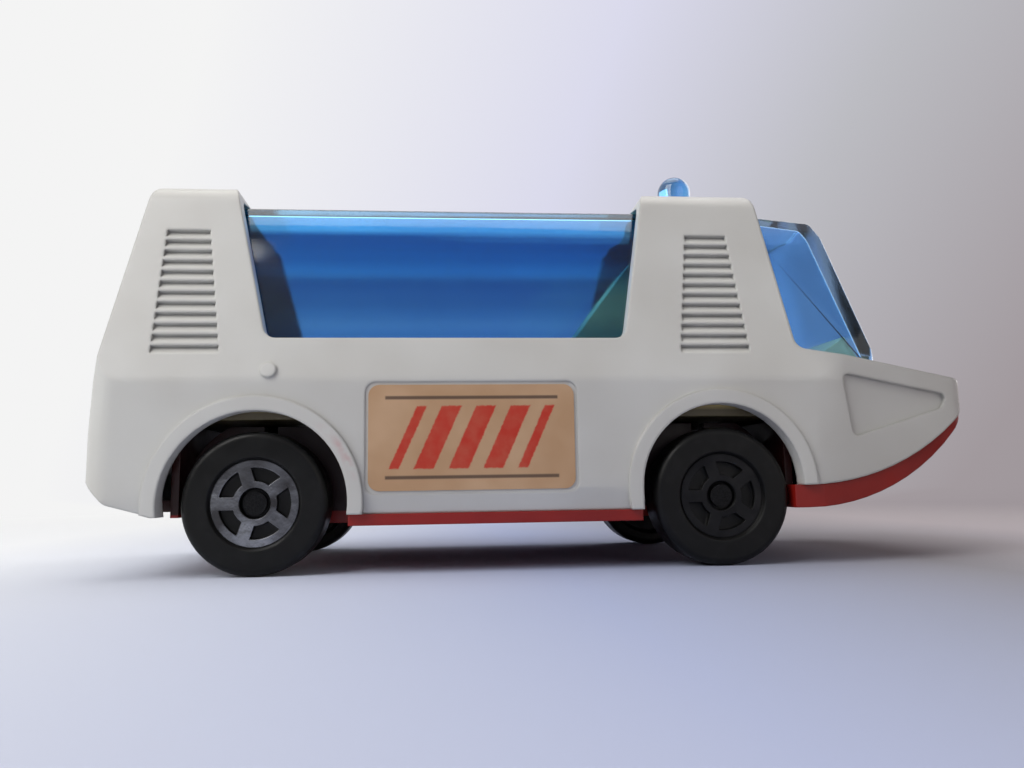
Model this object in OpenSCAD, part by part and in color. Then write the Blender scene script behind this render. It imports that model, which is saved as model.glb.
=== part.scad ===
// Pocket-size die-cast toy ambulance: cast body and base, one-piece tinted glazing, moulded
// interior, lifting tailgate, sprung wire axles, four foiled wheels and two side labels.
// Frame: +X to the nose, +Y to the left side, +Z up, origin on the floor under the middle.

/* [Overall] */
// Length from tail to nose
length = 70; // [68:0.5:74]
// Width across the flat lower sides
body_w = 26.4; // [25.6:0.2:28]
// Height of the corner line between the arch sides and their roof
roof_z = 30.9; // [30:0.1:32]
// Thickness of the cast body wall
wall = 1.15; // [0.95:0.05:1.3]

/* [Wheels and axles] */
// Diameter of a wheel
wheel_d = 10.6; // [10:0.1:10.8]
// Width of a wheel
wheel_w = 3.6; // [3.2:0.1:4]
// Distance from the tail to the rear axle
rear_overhang = 12.6; // [12:0.1:13.4]
// Distance from the front axle to the nose
front_overhang = 22.2; // [21.4:0.1:23]
// Setback of the wheels' outer faces from the body's flat sides
wheel_set = 0.3; // [0.1:0.05:0.6]
// Diameter of the axle wire
axle_d = 0.94; // [0.8:0.02:1.1]
// Diameter of the swaged axle heads
head_d = 1.7; // [1.4:0.1:1.9]
// Gap between a rear wheel and the lip of its arch
rear_arch_gap = 1.5; // [1.2:0.1:1.8]
// Gap between a front wheel and the lip of its arch
front_arch_gap = 1; // [0.9:0.1:1.4]
// Height of the front arch's centre above its axle
front_arch_lift = 0.8; // [0.5:0.1:1]
// Upward travel of an axle in its slots
axle_travel = 0.6; // [0.3:0.1:0.7]
// Diameter of the foiled hub face
hub_d = 6.5; // [6:0.1:7]
// Number of spokes in a hub
spokes = 5; // [4:1:6]

/* [Body side view] */
// Height of the lower body edge
skirt_z = 4.4; // [4.2:0.1:4.8]
// Height of the waist, above which the sides lean in
waist_z = 14.4; // [13.8:0.1:15]
// Height of the canopy sill
sill_z = 17.7; // [17:0.1:18.4]
// Height of the cab window sill at its back end
cab_sill_z = 16.9; // [16.4:0.1:17.4]
// Distance from the tail to the rear pillar at the sill
rear_pillar_l = 13; // [12.4:0.1:13.6]
// Length of the front arch at the sill
front_arch_l = 13.8; // [13:0.1:14.4]
// Length of the cab window opening
cab_l = 8.1; // [7.6:0.1:8.4]
// Length of the hood
hood_l = 7.4; // [7:0.1:8]
// Setback of the rear arch's roof from the tail
rear_top_set = 3.25; // [2.8:0.05:3.6]
// Length of the rear arch's roof
rear_top_l = 6.2; // [5.6:0.1:6.8]
// Setback of the front arch's roof from its back foot
front_top_set = 2.9; // [2.4:0.1:3.4]
// Length of the front arch's roof
front_top_l = 9.25; // [8.6:0.05:9.8]
// Radius of the arch crests in side view
crest_r = 2.4; // [1.5:0.1:2.8]
// Radius of the opening corners at the sill
pillar_r = 1; // [0.6:0.1:1.4]
// Setback of the tail at the waist
waist_set = 0.75; // [0.5:0.05:1]
// Height at which the tail tucks under
tail_low_z = 7.3; // [7:0.1:7.8]
// Height of the nose tip's upper edge
nose_top_z = 14.5; // [14:0.1:15]
// Height of the nose tip's lower edge
nose_low_z = 12.4; // [12.2:0.1:12.8]

/* [Body section and plan] */
// Lean of the upper sides from upright, in degrees
lean = 15.4; // [14:0.2:16.5]
// Pitch of the roof each side of the middle, in degrees
roof_pitch = 10.5; // [9:0.5:12]
// Width of the flat flank on each side of the roof's rounded middle
roof_flat = 3.1; // [2.9:0.05:3.6]
// Radius of the arch shoulders
shoulder_r = 2.4; // [2:0.1:2.8]
// Width of the nose at its tip
nose_w = 20.6; // [19:0.2:22]
// Radius of the nose corners in plan
nose_r = 2; // [1.6:0.1:2.6]
// Radius of the tail corners in plan
tail_r = 2.5; // [2:0.1:3]

/* [Body details] */
// Width of the raised lip round a wheel arch
flare_w = 1.1; // [0.8:0.1:1.4]
// Height of that lip above the side
flare_h = 0.3; // [0.2:0.05:0.4]
// Number of louvres in each arch side
louvres = 12; // [8:1:14]
// Pitch of the louvres
louvre_pitch = 0.92; // [0.84:0.02:1]
// Depth of a louvre
louvre_depth = 0.42; // [0.25:0.01:0.5]
// Room left at the two ends of a side label, between the wheel arch lips
label_room = 4.4; // [4:0.1:5]
// Height of a side label
label_h = 7.9; // [7:0.1:8.2]
// Diameter of the fuel filler cap
filler_d = 1.2; // [0.8:0.1:1.6]

/* [Glazing] */
// Thickness of the glazing
glass_t = 0.95; // [0.8:0.05:1]
// Clearance between glazing and casting
glass_gap = 0.2; // [0.12:0.02:0.3]
// Drop of the canopy's shoulder facet below the roof corner
facet_drop = 3.8; // [3:0.1:4.4]
// Reach of that facet in over the roof
facet_in = 2; // [1.6:0.1:2.6]
// Height of the windscreen's upper edge
screen_z = 29.1; // [28.4:0.1:29.4]
// Setback of the windscreen's upper edge from its foot
screen_set = 3.3; // [2.8:0.05:3.6]
// Toe-in of the cab's side glass towards the windscreen, in degrees
cab_toe = 5; // [3:0.5:6]
// Diameter of the beacon
beacon_d = 3.1; // [2.7:0.1:3.5]
// Height of the beacon above the roof
beacon_rise = 3.7; // [3.4:0.1:4.2]

/* [Tailgate] */
// Height of the tailgate, measured down the slope from its hinge
gate_h = 12.6; // [11.8:0.1:12.8]
// Width of casting left on each side of the tailgate's foot
gate_foot_side = 3.8; // [3.6:0.1:4.2]
// Width of casting left on each side of the tailgate's head, at the roof corner
gate_head_side = 2.25; // [2.1:0.05:2.6]
// Gap round the tailgate
gate_gap = 0.2; // [0.15:0.01:0.3]
// Radius of the tailgate's hinge barrel
barrel_r = 0.9; // [0.8:0.05:1]
// Radius of the tailgate's trunnions
trunnion_r = 0.55; // [0.45:0.05:0.6]

/* [Interior] */
// Height of the tray's rim, on which the glazing stands
tray_rim_z = 15.4; // [15:0.1:15.6]
// Thickness of the tray
tray_t = 0.8; // [0.7:0.05:1]
// Width of the stretcher
bed_w = 8.4; // [7.6:0.2:9]
// Height of the stretcher's top
bed_z = 14.6; // [14:0.1:15]
// Height of the reclined backrest's top
rest_z = 25.4; // [24:0.2:26]
// Height of the dashboard's top
dash_z = 18.2; // [17.6:0.1:18.6]
// Diameter of the steering wheel
steer_d = 3.6; // [3:0.1:4]

/* [Base] */
// Height of the base's underside
base_z = 3.55; // [3.3:0.05:3.7]
// Height of the front lip's lower edge at its back end
lip_low_z = 4.3; // [4.1:0.05:4.5]
// Height of the front lip's upper edge at its back end
lip_top_z = 6.05; // [5.8:0.05:6.3]
// Height of the front lip's point
lip_tip_z = 12; // [11.6:0.1:12.1]
// Room between the fixed ends of the two axle springs
spring_room = 13.2; // [12.8:0.1:14]
// Thickness of an axle spring
spring_t = 0.5; // [0.4:0.05:0.6]
// Width of an axle spring
spring_w = 5; // [4:0.2:6]

/* [Hidden] */

// fineness of true rounds, and of the corner arcs of the outlines
$fn = 48;
arc_n = 6;
// overrun of every cut
over = 1;
// fixed small sizes
run_gap = 0.05;
seat_gap = 0.1;
slide_gap = 0.04;
tuck_l = 2.1;
tuck_z = 5.35;
sweep_l = 5.5;
tuck_r = 1;
waist_r = 2.5;
skirt_in = 0.4;
skirt_rise = 1.7;
nose_rake = 0.3;
nose_edge_r = 1;
taper_gap = 0.7;
lip_gap = 0.4;
lip_in = 0.15;

// stations along the length
tail_x = -length / 2;
nose_x = length / 2;
rear_x = tail_x + rear_overhang;
wheelbase = length - rear_overhang - front_overhang;
front_x = rear_x + wheelbase;
pillar_x = tail_x + rear_pillar_l;
hood_x = nose_x - hood_l;
cab_x = hood_x - cab_l;
arch_x = cab_x - front_arch_l;
half_w = body_w / 2;
track_w = body_w - 2 * wheel_set;
wheel_r = wheel_d / 2;
axle_r = axle_d / 2;
rear_arch_r = wheel_r + rear_arch_gap;
front_arch_r = wheel_r + front_arch_gap;
tray_gap = 0.3;
tray_low_z = wheel_d + axle_travel + tray_gap;
lip_x = front_x + wheel_r + lip_gap;
bend_x = front_x + front_arch_r + lip_gap;
taper_x = front_x + front_arch_r + flare_w + taper_gap;

// the upper side, the roof corner and the roof's middle
function side_y(z) = half_w - tan(lean) * (z - waist_z);
corner_y = side_y(roof_z);
roof_r = (corner_y - roof_flat) / tan(roof_pitch);
ridge_z = roof_z + tan(roof_pitch) * corner_y;
peak_z = ridge_z - roof_r * (1 / cos(roof_pitch) - 1);
beacon_z = peak_z + beacon_rise;

// a corner b between a and c, rounded by the radius in b
function dir(v) = v / norm(v);
function flat(p) = [p[0], p[1]];
function corner(a, b, c) = let(
    u = dir(flat(a) - flat(b)),
    v = dir(flat(c) - flat(b)),
    half = acos(max(-1, min(1, u * v))) / 2,
    r = b[2],
    mid = flat(b) + dir(u + v) * r / sin(half),
    p = flat(b) + u * r / tan(half) - mid,
    q = flat(b) + v * r / tan(half) - mid,
    start = atan2(p[1], p[0]),
    turn = (atan2(q[1], q[0]) - start + 540) % 360 - 180)
    r == 0 ? [flat(b)]
    : [for (k = [0:arc_n]) mid + r * [cos(start + turn * k / arc_n), sin(start + turn * k / arc_n)]];
function rounded(p) = [for (i = [0:len(p) - 1])
    each corner(p[(i + len(p) - 1) % len(p)], p[i], p[(i + 1) % len(p)])];

// a counter-clockwise outline drawn in by d, with its corner radii kept concentric
function left(a, b) = let(e = dir(flat(b) - flat(a))) [-e[1], e[0]];
function inset(p, d) = [for (i = [0:len(p) - 1]) let(
    a = p[(i + len(p) - 1) % len(p)],
    b = p[i],
    c = p[(i + 1) % len(p)],
    m = left(a, b),
    n = left(b, c),
    at = flat(b) + (m + n) * d / (1 + m * n),
    bend = m[0] * n[1] - m[1] * n[0],
    r = b[2] == 0 ? 0 : max(0, b[2] - sign(bend) * d))
    [at[0], at[1], r]];

// an arc that leaves [x0, z0] level and climbs to [x1, z1]
arc_steps = 12;
function climb(x0, z0, x1, z1) = let(
    dx = x1 - x0,
    dz = z1 - z0,
    r = (dx * dx + dz * dz) / (2 * dz))
    [for (k = [0:arc_steps]) let(s = dx * k / arc_steps) [x0 + s, z0 + r - sqrt(r * r - s * s), 0]];
function reversed(p) = [for (i = [len(p) - 1:-1:0]) p[i]];

// outlines swept across, along and up
module across(p, w = body_w + 2 * over) rotate([90, 0, 0]) linear_extrude(w, center = true) polygon(p);
module along(p, x0 = tail_x - over, x1 = nose_x + over)
    translate([x0, 0, 0]) rotate([90, 0, 90]) linear_extrude(x1 - x0) polygon(p);
module upright(p, z0 = -over, z1 = beacon_z) translate([0, 0, z0]) linear_extrude(z1 - z0) polygon(p);
module both_sides() {
    children();
    mirror([0, 1, 0]) children();
}

// the body's three outlines: side view, section and plan
deep_z = -wheel_d;
function hood_at(x) = cab_sill_z + (nose_top_z - cab_sill_z) * (x - cab_x) / (nose_x - nose_rake - cab_x);
lip_line = concat([[lip_x, lip_top_z, 0]], climb(bend_x, lip_top_z, nose_x, nose_low_z));
tail_line = [
    [tail_x + rear_top_set, peak_z, crest_r],
    [tail_x + waist_set, waist_z, waist_r],
    [tail_x, tail_low_z, tuck_r]];
side_outline = concat(
    [[tail_x + sweep_l, skirt_z, 0], [lip_x, skirt_z, 0]],
    lip_line,
    [[nose_x - nose_rake, nose_top_z, nose_edge_r],
     [cab_x, cab_sill_z, pillar_r],
     [arch_x + front_top_set + front_top_l, peak_z, crest_r],
     [arch_x + front_top_set, peak_z, crest_r],
     [arch_x, sill_z, pillar_r],
     [pillar_x, sill_z, pillar_r],
     [tail_x + rear_top_set + rear_top_l, peak_z, crest_r]],
    tail_line,
    [[tail_x + tuck_l, tuck_z, tuck_r]]);
cavity_outline = inset(concat(
    [[tail_x + tuck_l, deep_z, 0],
     [nose_x, deep_z, 0],
     [nose_x, nose_top_z, nose_edge_r],
     [hood_x + wall, hood_at(hood_x + wall), 0],
     [hood_x + wall, peak_z, 0]],
    tail_line,
    [[tail_x + tuck_l, tuck_z, tuck_r]]), wall);
function mirrored(p) = concat(p, [for (q = reversed(p)) [-q[0], q[1], q[2]]]);
function section_side() = [
    [half_w - skirt_in, deep_z, 0],
    [half_w - skirt_in, skirt_z, 0],
    [half_w, skirt_z + skirt_rise, 0],
    [half_w, waist_z, waist_r]];
section_outline = concat(
    section_side(),
    [[corner_y, roof_z, shoulder_r],
     [0, ridge_z, roof_r],
     [-corner_y, roof_z, shoulder_r]],
    [for (q = reversed(section_side())) [-q[0], q[1], q[2]]]);
plan_outline = [
    [tail_x, -half_w, tail_r],
    [taper_x, -half_w, 0],
    [nose_x, -nose_w / 2, nose_r],
    [nose_x, nose_w / 2, nose_r],
    [taper_x, half_w, 0],
    [tail_x, half_w, tail_r]];

// the cab's opening in plan: the inside of the walls up to the hood, with rounded front corners
cab_r = 1.6;
function plan_y(x) = x < taper_x ? half_w
    : half_w + (nose_w / 2 - half_w) * (x - taper_x) / (nose_x - taper_x);
cab_plan = inset([
    [tail_x, -half_w, tail_r],
    [taper_x, -half_w, 0],
    [hood_x + wall, -plan_y(hood_x + wall), cab_r + wall],
    [hood_x + wall, plan_y(hood_x + wall), cab_r + wall],
    [taper_x, half_w, 0],
    [tail_x, half_w, tail_r]], wall);

// the tail face: its own frame, with z up the slope and x inward
tail_lean = atan((rear_top_set - waist_set) / (peak_z - waist_z));
module on_tail() translate([tail_x + waist_set, 0, waist_z]) rotate([0, tail_lean, 0]) children();
gate_foot = 1;
gate_foot_w = body_w - 2 * gate_foot_side;
gate_head_w = 2 * (corner_y - gate_head_side);
gate_top = gate_foot + gate_h;
gate_t = 1.1;
function gate_outline(d) = [
    [-gate_foot_w / 2 + d, gate_foot + d, gate_r],
    [gate_foot_w / 2 - d, gate_foot + d, gate_r],
    [gate_head_w / 2 - d, gate_top + barrel_r + gate_gap - d, 0],
    [-gate_head_w / 2 + d, gate_top + barrel_r + gate_gap - d, 0]];
gate_r = 0.8;
lug_r = 1.35;
lug_l = 2.2;
trunnion_l = 1.5;
trunnion_end = gate_head_w / 2 + trunnion_l;
module gate_prism(p, x0, x1) translate([x0, 0, 0]) rotate([90, 0, 90]) linear_extrude(x1 - x0) polygon(p);
module barrel_at(r, y0, y1) translate([barrel_r, y0, gate_top]) rotate([-90, 0, 0])
    cylinder(h = y1 - y0, r = r);

// louvres: one side of one arch, in the plane of the leaning side
louvre_low_z = 16.35;
louvre_in = 0.12;
rear_louvre = [4.7, 9.65, 4.7, 8.05];
front_louvre = [4.4, 9.95, 5.9, 9.4];
module louvre_cuts(x0, span) {
    translate([x0, -side_y(louvre_low_z), louvre_low_z]) rotate([-lean, 0, 0])
        for (i = [0:louvres - 1]) {
            back = span[0] + (span[2] - span[0]) * i / (louvres - 1);
            ahead = span[1] + (span[3] - span[1]) * i / (louvres - 1);
            translate([back, 0, i * louvre_pitch]) rotate([90, 0, 90]) linear_extrude(ahead - back)
                polygon([[-over, louvre_in], [0, louvre_in], [louvre_depth, louvre_pitch - louvre_in],
                         [-over, louvre_pitch - louvre_in]]);
        }
}

// label: its place on the side and a recess a little larger than it
label_t = 0.1;
label_r = 0.8;
label_rim = 0.25;
label_back = 1.6;
label_l = wheelbase - rear_arch_r - front_arch_r - 2 * flare_w - label_room;
label_x = (rear_x + front_x) / 2 - label_back;
label_z = 10;
module label_plate(d, t) rotate([90, 0, 0]) linear_extrude(t) polygon(rounded([
    [label_x - label_l / 2 - d, label_z - label_h / 2 - d, label_r],
    [label_x + label_l / 2 + d, label_z - label_h / 2 - d, label_r],
    [label_x + label_l / 2 + d, label_z + label_h / 2 + d, label_r],
    [label_x - label_l / 2 - d, label_z + label_h / 2 + d, label_r]]));

// nose flank panel, headlamps, tail lamps
panel_depth = 0.35;
panel_r = 0.5;
panel_back = 12;
panel_ahead = 1.9;
panel_top_drop = 1.5;
panel_mid_z = 12.1;
panel_low_z = 9.7;
panel_slant = 0.75;
lamp_w = 4.4;
lamp_h = 1.1;
lamp_y = 3;
lamp_z = 13.15;
lamp_rim = 0.25;
lamp_depth = 0.7;
tail_lamp_w = 3;
tail_lamp_h = 2.2;
tail_lamp_y = 7;
tail_lamp_z = 9.6;
tail_lamp_n = 3;
module nose_panels() difference() {
    across(rounded([
        [nose_x - panel_back + panel_slant, panel_low_z, panel_r],
        [nose_x - panel_ahead - panel_slant, panel_mid_z, panel_r],
        [nose_x - panel_ahead, hood_at(nose_x - panel_ahead) - panel_top_drop, panel_r],
        [nose_x - panel_back, hood_at(nose_x - panel_back) - panel_top_drop, panel_r]]));
    upright(rounded(inset(plan_outline, panel_depth)));
}
module headlamp() translate([nose_x - lamp_depth, lamp_y, lamp_z - lamp_h / 2]) difference() {
    cube([over, lamp_w, lamp_h]);
    translate([-over, lamp_rim, lamp_rim])
        cube([over + lamp_rim, lamp_w - 2 * lamp_rim, lamp_h - 2 * lamp_rim]);
}
module tail_lamp() for (i = [0:tail_lamp_n - 1])
    translate([tail_x - over, tail_lamp_y + i * tail_lamp_w / tail_lamp_n, tail_lamp_z])
        cube([over + lamp_depth, tail_lamp_w / tail_lamp_n - lamp_rim, tail_lamp_h]);

// rivet posts that hold body and base together
post_r = 1.1;
stub_r = 0.7;
stub_gap = 0.05;
rivet_r = 1.25;
rivet_h = 0.45;
rear_post_l = 4.6;
rear_post_x = tail_x + rear_post_l;
front_post_l = 2.9;
front_post_x = hood_x - front_post_l;
web_w = 1.8;
web_z = 8.6;
web_t = 1.9;
web_gap = 0.6;
shelf_z = 9.6;
shelf_t = 1.4;
shelf_w = 4.4;
shelf_end = 0.9;
tail_base_z = 4.7;
tail_base_t = 0.9;
front_seat_z = 5.9;
front_seat_t = 1.1;
module rivet(x, low, t, top) translate([x, 0, 0]) {
    translate([0, 0, low + t]) cylinder(h = top - low - t, r = post_r);
    translate([0, 0, low - rivet_h]) cylinder(h = t + rivet_h + stub_gap, r = stub_r);
    translate([0, 0, low - rivet_h]) cylinder(h = rivet_h, r1 = stub_r, r2 = rivet_r);
}
ledge_back = 1.2;
ledge_t = 0.8;
ledge_h = 0.8;
ledge_in = 1.4;
ledge_w = gate_foot_w - 2 * ledge_in;

module body_solid() intersection() {
    across(rounded(side_outline));
    along(rounded(section_outline));
    upright(rounded(plan_outline));
}
module body_cavity() {
    intersection() {
        across(rounded(cavity_outline));
        along(rounded(inset(section_outline, wall)));
        upright(rounded(cab_plan), deep_z);
    }
    intersection() {
        across(rounded(cavity_outline));
        along(rounded(inset(section_outline, wall)));
        upright(rounded(inset(plan_outline, wall)), deep_z, hood_at(hood_x) - wall);
    }
}
module wheel_arch(x, lift, r, w) translate([x, 0, wheel_r + lift]) rotate([90, 0, 0])
    cylinder(h = w, r = r, center = true);
module arch_foot_cut(x, lift, r) translate([x - r, -half_w - over, 0])
    cube([2 * r, body_w + 2 * over, wheel_r + lift]);
module flare_keep() difference() {
    across(rounded(side_outline), body_w + 2 * over);
    cube([length + over, body_w - 2 * wall, 2 * peak_z], center = true);
}
filler_x = 13.45;
filler_z = 15.1;
filler_h = 0.2;
beacon_ahead = 0.6;
plinth_r = 2.3;
plinth_h = 1;
beacon_x = arch_x + front_top_set + front_top_l / 2 + beacon_ahead;

module body() color("#d8d8d2") {
    difference() {
        union() {
            difference() {
                body_solid();
                body_cavity();
            }
            intersection() {
                union() {
                    wheel_arch(rear_x, 0, rear_arch_r + flare_w, body_w + 2 * flare_h);
                    wheel_arch(front_x, front_arch_lift, front_arch_r + flare_w, body_w + 2 * flare_h);
                }
                flare_keep();
            }
            translate([beacon_x, 0, roof_z])
                cylinder(h = peak_z - roof_z + plinth_h, r1 = plinth_r + plinth_h, r2 = plinth_r);
        }
        wheel_arch(rear_x, 0, rear_arch_r, body_w + 2 * over);
        wheel_arch(front_x, front_arch_lift, front_arch_r, body_w + 2 * over);
        arch_foot_cut(front_x, front_arch_lift, front_arch_r);
        both_sides() {
            louvre_cuts(tail_x, rear_louvre);
            louvre_cuts(arch_x, front_louvre);
            translate([0, -half_w + label_t, 0]) label_plate(label_rim, over);
            headlamp();
            tail_lamp();
        }
        nose_panels();
        translate([beacon_x, 0, roof_z - wall]) cylinder(h = wall + peak_z, r = beacon_d / 2 + seat_gap);
        on_tail() {
            gate_prism(rounded(gate_outline(0)), -over, 2 * wall);
            barrel_at(trunnion_r + run_gap, -trunnion_end - seat_gap, trunnion_end + seat_gap);
        }
    }
    translate([tail_x + filler_x, -side_y(filler_z), filler_z]) rotate([90 - lean, 0, 0])
        translate([0, 0, -wall / 2]) cylinder(h = wall / 2 + filler_h, d = filler_d);
    both_sides() on_tail() difference() {
        barrel_at(lug_r, gate_head_w / 2, gate_head_w / 2 + lug_l);
        barrel_at(trunnion_r + run_gap, 0, trunnion_end + seat_gap);
        translate([-lug_r, 0, 0]) cube([lug_r + wall / 4, half_w, 2 * gate_top]);
        gate_prism(rounded(gate_outline(0)), -over, gate_t + seat_gap);
    }
    on_tail() {
        translate([wall - seat_gap, -ledge_w / 2, -ledge_h])
            cube([ledge_back + ledge_t - wall + seat_gap, ledge_w, ledge_h + gate_foot - gate_gap]);
        translate([ledge_back, -ledge_w / 2, 0]) cube([ledge_t, ledge_w, gate_foot + ledge_h]);
    }
    rivet(rear_post_x, tail_base_z, tail_base_t, shelf_z + shelf_t / 2);
    translate([tail_x + wall / 2, -shelf_w / 2, shelf_z])
        cube([rear_post_l - wall / 2 + shelf_end, shelf_w, shelf_t]);
    rivet(front_post_x, front_seat_z, front_seat_t, web_z + web_t);
    across([[front_post_x, web_z], [hood_x, web_z], [nose_x - 2 * wall, nose_low_z + wall],
            [nose_x - 2 * wall, hood_at(nose_x - 2 * wall) - wall / 2],
            [hood_x + web_gap, hood_at(hood_x) - wall / 2],
            [hood_x + web_gap, web_z + web_t], [front_post_x, web_z + web_t]], web_w);
}

// the base plate: spine and sills, cheeks for the axles, spring seats, front pan
spine_in = 1.9;
spine_half = track_w / 2 - wheel_w - spine_in;
base_in = 0.25;
cheek_t = 1.2;
cheek_gap = 0.2;
box_gap = 0.5;
box_t = 0.6;
box_in = 1.9;
box_w = body_w - 2 * box_in;
slot_gap = 0.05;
step_l = 1;
tail_base_in = 3.7;
tail_base_w = body_w - 2 * tail_base_in;
tail_base_end = 3.4;
peg_r = 0.6;
peg_in = 1.5;
peg_cap_r = 1;
peg_cap_h = 0.4;
seat_l = 3;
boss_r = 2;
lip_low = concat([[lip_x, lip_low_z, 0]], climb(bend_x, lip_low_z, nose_x, lip_tip_z));
step_x = rear_x - wheel_r - box_gap - box_t + step_l / 2;
spring_z = wheel_r + axle_r + slide_gap;
spring_l = (wheelbase - spring_room) / 2;
module axle_slot(x) translate([x, 0, wheel_r]) {
    rotate([90, 0, 0]) cylinder(h = body_w, r = axle_r + slot_gap, center = true);
    translate([-axle_r - slot_gap, -half_w, 0]) cube([axle_d + 2 * slot_gap, body_w, tray_low_z]);
}
module cheeks(x) both_sides() intersection() {
    translate([x, spine_half, wheel_r]) rotate([90, 0, 0]) cylinder(h = cheek_t, r = rear_arch_r);
    translate([x - rear_arch_r, 0, skirt_z - seat_gap])
        cube([2 * rear_arch_r, body_w, tray_low_z - cheek_gap - skirt_z + seat_gap]);
}
module spring_seat(x, s) {
    translate([x + s * (spring_l - seat_l / 2) - seat_l / 2, -spring_w / 2, base_z])
        cube([seat_l, spring_w, spring_z - base_z]);
    translate([x + s * (spring_l - peg_in), 0, base_z]) {
        cylinder(h = spring_z + spring_t + peg_cap_h - base_z, r = peg_r);
        translate([0, 0, spring_z + spring_t - base_z]) cylinder(h = peg_cap_h, r = peg_cap_r);
    }
}
module box_wall(x) translate([x, -box_w / 2, skirt_z - seat_gap])
    cube([box_t, box_w, tray_low_z - cheek_gap - skirt_z + seat_gap]);
module pan() intersection() {
    across([for (p = concat(lip_low, reversed(lip_line))) flat(p)]);
    upright(rounded(inset(plan_outline, lip_in)));
}
module base() color("#a02218") difference() {
    union() {
        across([[step_x, base_z], [front_x - front_arch_r, base_z],
                [lip_x + step_l, lip_low_z + seat_gap], [lip_x + step_l, lip_low_z + skirt_z - base_z],
                [front_x - front_arch_r, skirt_z], [step_x, skirt_z]], 2 * spine_half);
        translate([rear_x + rear_arch_r, -half_w + base_in, base_z])
            cube([wheelbase - rear_arch_r - front_arch_r, body_w - 2 * base_in, skirt_z - base_z]);
        pan();
        box_wall(rear_x - wheel_r - box_gap - box_t);
        box_wall(lip_x);
        cheeks(rear_x);
        cheeks(front_x);
        translate([step_x - step_l / 2, -spine_half, base_z])
            cube([step_l, 2 * spine_half, tail_base_z + tail_base_t - base_z]);
        translate([tail_x + tail_base_end, -tail_base_w / 2, tail_base_z])
            cube([step_x - tail_x - tail_base_end, tail_base_w, tail_base_t]);
        spring_seat(rear_x, 1);
        spring_seat(front_x, -1);
        translate([front_post_x, 0, lip_top_z])
            cylinder(h = front_seat_z + front_seat_t - lip_top_z, r = boss_r);
    }
    axle_slot(rear_x);
    axle_slot(front_x);
    translate([rear_post_x, 0, tail_base_z - over])
        cylinder(h = tail_base_t + 2 * over, r = stub_r + stub_gap);
    translate([front_post_x, 0, 0]) {
        cylinder(h = front_seat_z + front_seat_t + over, r = stub_r + stub_gap);
        cylinder(h = front_seat_z, r = rivet_r + seat_gap);
    }
}

// the glazing: a shell under the arches, with the windscreen in front and the beacon on top
glass_in = wall + glass_gap;
glass_back = 5.7;
screen_foot = hood_x - glass_gap;
screen_r = 0.5;
crown_x = arch_x + front_top_set + front_top_l;
crown_rise = 0.85;
crown_l = 0.9;
glass_section = [
    [half_w, deep_z, 0],
    [half_w, waist_z, 0],
    [side_y(roof_z - facet_drop), roof_z - facet_drop, 0],
    [corner_y - facet_in, roof_z + tan(roof_pitch) * facet_in, 0],
    [0, ridge_z, roof_r],
    [-corner_y + facet_in, roof_z + tan(roof_pitch) * facet_in, 0],
    [-side_y(roof_z - facet_drop), roof_z - facet_drop, 0],
    [-half_w, waist_z, 0],
    [-half_w, deep_z, 0]];
glass_side = [
    [tail_x + glass_back, tray_rim_z, 0],
    [screen_foot, tray_rim_z, 0],
    [screen_foot - screen_set, screen_z, screen_r],
    [crown_x, screen_z + crown_rise, 0],
    [crown_x - crown_l, peak_z, 0],
    [tail_x + glass_back, peak_z, 0]];
glass_inner = [
    [tail_x + glass_back - over, tray_rim_z - over, 0],
    [screen_foot - glass_t + screen_set * over / (screen_z - tray_rim_z), tray_rim_z - over, 0],
    [screen_foot - glass_t - screen_set, screen_z - glass_t, screen_r],
    [crown_x, screen_z + crown_rise - glass_t, 0],
    [crown_x - crown_l, peak_z - glass_t, 0],
    [tail_x + glass_back - over, peak_z - glass_t, 0]];
module glass_room(d) difference() {
    intersection() {
        along(rounded(inset(glass_section, glass_in + d)));
        upright(rounded(inset(cab_plan, glass_gap + d)));
    }
    both_sides() translate([cab_x, half_w - (glass_in + d) / cos(lean), waist_z]) rotate([lean, 0, -cab_toe])
        translate([0, 0, -peak_z]) cube([length, body_w, 2 * peak_z]);
}
module glazing() color("#2d6fbe") {
    difference() {
        intersection() {
            across(rounded(glass_side));
            glass_room(0);
        }
        intersection() {
            across(rounded(glass_inner));
            glass_room(glass_t);
        }
    }
    translate([beacon_x, 0, peak_z - glass_in - glass_t / 2])
        cylinder(h = beacon_z - beacon_d / 2 - peak_z + glass_in + glass_t / 2, d = beacon_d);
    translate([beacon_x, 0, beacon_z - beacon_d / 2]) sphere(d = beacon_d);
}

// the interior: tray, stretcher with a reclined backrest, seats, dashboard and steering wheel
tray_back = 3.3;
leg_gap = 0.3;
tray_floor = tray_low_z + tray_t;
leg_r = 1.3;
leg_in = spring_l + leg_r + leg_gap;
bed_back = 5.4;
bed_r = 0.8;
rest_back = 8.1;
rest_x = arch_x - rest_back;
rest_run = 10.2;
rest_t = 1;
rest_half_w = 6.2;
pillow_l = 3;
pillow_w = 5.6;
pillow_h = 0.7;
seat_back = 5.5;
seat_run = 6;
seat_t = 1.1;
seat_z = 14.6;
seat_top_z = 20.4;
seat_lean = 1.6;
seat_w = 6.6;
seat_y = 1.2;
dash_l = 3.6;
dash_slope = 1.4;
dash_gap = 0.15;
steer_t = 0.5;
steer_y = -4.6;
steer_x = 5.9;
steer_z = 17.3;
steer_lean = 62;
column_r = 0.4;
module tray_block(z0, z1, d) intersection() {
    across([[tail_x + tray_back + d, z0], [screen_foot - d, z0],
            [screen_foot - d, z1], [tail_x + tray_back + d, z1]]);
    along(rounded(inset(glass_section, glass_in + d)));
    upright(rounded(inset(cab_plan, glass_gap + d)));
}
module leg(x) translate([x, 0, skirt_z]) cylinder(h = tray_low_z - skirt_z + tray_t / 2, r = leg_r);
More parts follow.
